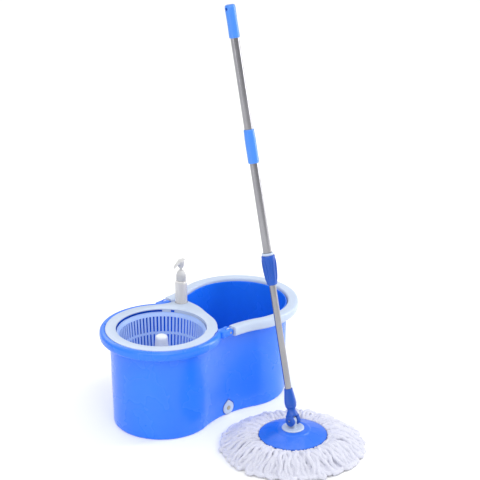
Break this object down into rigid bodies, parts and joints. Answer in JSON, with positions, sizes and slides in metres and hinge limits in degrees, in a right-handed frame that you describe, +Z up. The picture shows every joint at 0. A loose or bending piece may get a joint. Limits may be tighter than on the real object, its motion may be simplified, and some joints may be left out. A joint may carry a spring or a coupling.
{
  "type": "spin mop with bucket",
  "caption": "Hand-press spin mop with a twin-lobe bucket: spin basket, splash deck, carry handle, soap pump, drain plug, spiral-drive pole and tilting strand head.",
  "frame": {"origin": "centre of the bucket's flat underside, on the floor", "axes": "+X along the bucket from the basket lobe to the water lobe, -Y towards the drain plug's side where the mop stands, +Z up"},
  "size_m": [0.498, 0.597, 0.9408],
  "materials": {
    "bucket_blue": "satin moulded plastic",
    "deck_white": "satin moulded plastic",
    "basket_white": "satin moulded plastic",
    "handle_white": "satin moulded plastic",
    "fitting_blue": "satin moulded plastic",
    "disc_blue": "satin moulded plastic",
    "bottle_clear": "clear plastic",
    "pump_white": "satin moulded plastic",
    "tube_steel": "polished stainless tube",
    "rod_steel": "plain steel",
    "bearing_grey": "low-friction plastic",
    "button_rubber": "soft rubber",
    "strand_white": "looped microfibre chenille"
  },
  "bodies": {
    "bucket": {"bucket": "bucket_blue", "basket_spindle": "tube_steel", "handle_pin_front": "tube_steel", "handle_pin_rear": "tube_steel"},
    "carry_handle": {"carry_handle": "handle_white"},
    "basket_bearing": {"basket_bearing": "bearing_grey"},
    "spin_basket": {"spin_basket": "basket_white"},
    "splash_deck": {"splash_deck": "deck_white"},
    "soap_bottle": {"soap_bottle": "bottle_clear", "pump_cap": "pump_white", "pump_barrel": "pump_white", "dip_tube": "bottle_clear", "pump_spring": "tube_steel"},
    "pump_stem": {"pump_stem": "pump_white"},
    "pump_head": {"pump_head": "pump_white"},
    "drain_plug": {"drain_plug": "deck_white", "drain_button": "button_rubber"},
    "drive_carrier": {"guide_bush": "deck_white"},
    "outer_pole": {"end_bush": "deck_white", "middle_tube": "tube_steel", "upper_tube": "tube_steel", "pole_coupling": "fitting_blue", "collar_ring": "deck_white", "top_grip": "fitting_blue", "drive_rod": "rod_steel", "rod_anchor": "deck_white"},
    "lock_collar": {"lock_collar": "fitting_blue"},
    "drive_shaft": {"lower_tube": "tube_steel", "stop_ring": "rod_steel", "drive_nut": "rod_steel", "pole_socket": "fitting_blue", "yoke": "fitting_blue", "yoke_pin": "tube_steel"},
    "mop_head": {"head_hub": "deck_white", "mop_disc": "disc_blue", "head_screw": "tube_steel"},
    "strand_refill": {"refill_ring": "deck_white", "mop_strands": "strand_white"}
  },
  "joints": [
    {"name": "handle_lift", "type": "hinge", "parent": "bucket", "child": "carry_handle", "pos_m": [-0.0095, 0, 0.2111], "axis": [0, -1, 0], "range_deg": [0, 90]},
    {"name": "basket_spin", "type": "hinge", "parent": "bucket", "child": "basket_bearing", "pos_m": [-0.1122, 0, 0.1757], "axis": [0, 0, 1], "continuous": true},
    {"name": "basket_lift", "type": "slide", "parent": "basket_bearing", "child": "spin_basket", "axis": [0, 0, 1], "range_m": [0, 0.2]},
    {"name": "deck_lift", "type": "slide", "parent": "bucket", "child": "splash_deck", "axis": [0, 0, 1], "range_m": [0, 0.3]},
    {"name": "bottle_lift", "type": "slide", "parent": "splash_deck", "child": "soap_bottle", "axis": [0, 0, 1], "range_m": [0, 0.1]},
    {"name": "pump_press", "type": "slide", "parent": "soap_bottle", "child": "pump_stem", "axis": [0, 0, -1], "range_m": [0, 0.006], "stiffness_N_per_m": 300, "springref_m": -0.006, "deforming": ["pump_spring"]},
    {"name": "pump_turn", "type": "hinge", "parent": "pump_stem", "child": "pump_head", "pos_m": [0.0105, 0.0734, 0.3], "axis": [0, 0, 1], "continuous": true},
    {"name": "drain_pull", "type": "slide", "parent": "bucket", "child": "drain_plug", "axis": [0, -1, 0], "range_m": [0, 0.02]},
    {"name": "mop_lift", "type": "slide", "parent": "bucket", "child": "drive_carrier", "axis": [0, 0, 1], "range_m": [0, 0.3]},
    {"name": "pole_press", "type": "slide", "parent": "drive_carrier", "child": "outer_pole", "axis": [0, -0.2202, -0.9755], "range_m": [0, 0.2]},
    {"name": "collar_twist", "type": "hinge", "parent": "outer_pole", "child": "lock_collar", "pos_m": [-0.0076, -0.23094, 0.3928], "axis": [0, 0.2202, 0.9755], "range_deg": [0, 60]},
    {"name": "shaft_spin", "type": "hinge", "parent": "drive_carrier", "child": "drive_shaft", "pos_m": [-0.0076, -0.3036, 0.0709], "axis": [0, 0.2202, 0.9755], "range_deg": [-1, 901]},
    {"name": "yoke_tilt", "type": "hinge", "parent": "drive_shaft", "child": "mop_head", "pos_m": [-0.0076, -0.3036, 0.0709], "axis": [1, 0, 0], "range_deg": [-97.7, 72.3]},
    {"name": "refill_unclip", "type": "slide", "parent": "mop_head", "child": "strand_refill", "axis": [0, 0, -1], "range_m": [0, 0.05]}
  ],
  "couplings": [
    {"joint": "shaft_spin", "follows": "pole_press", "rad_per_m": 78.54}
  ]
}
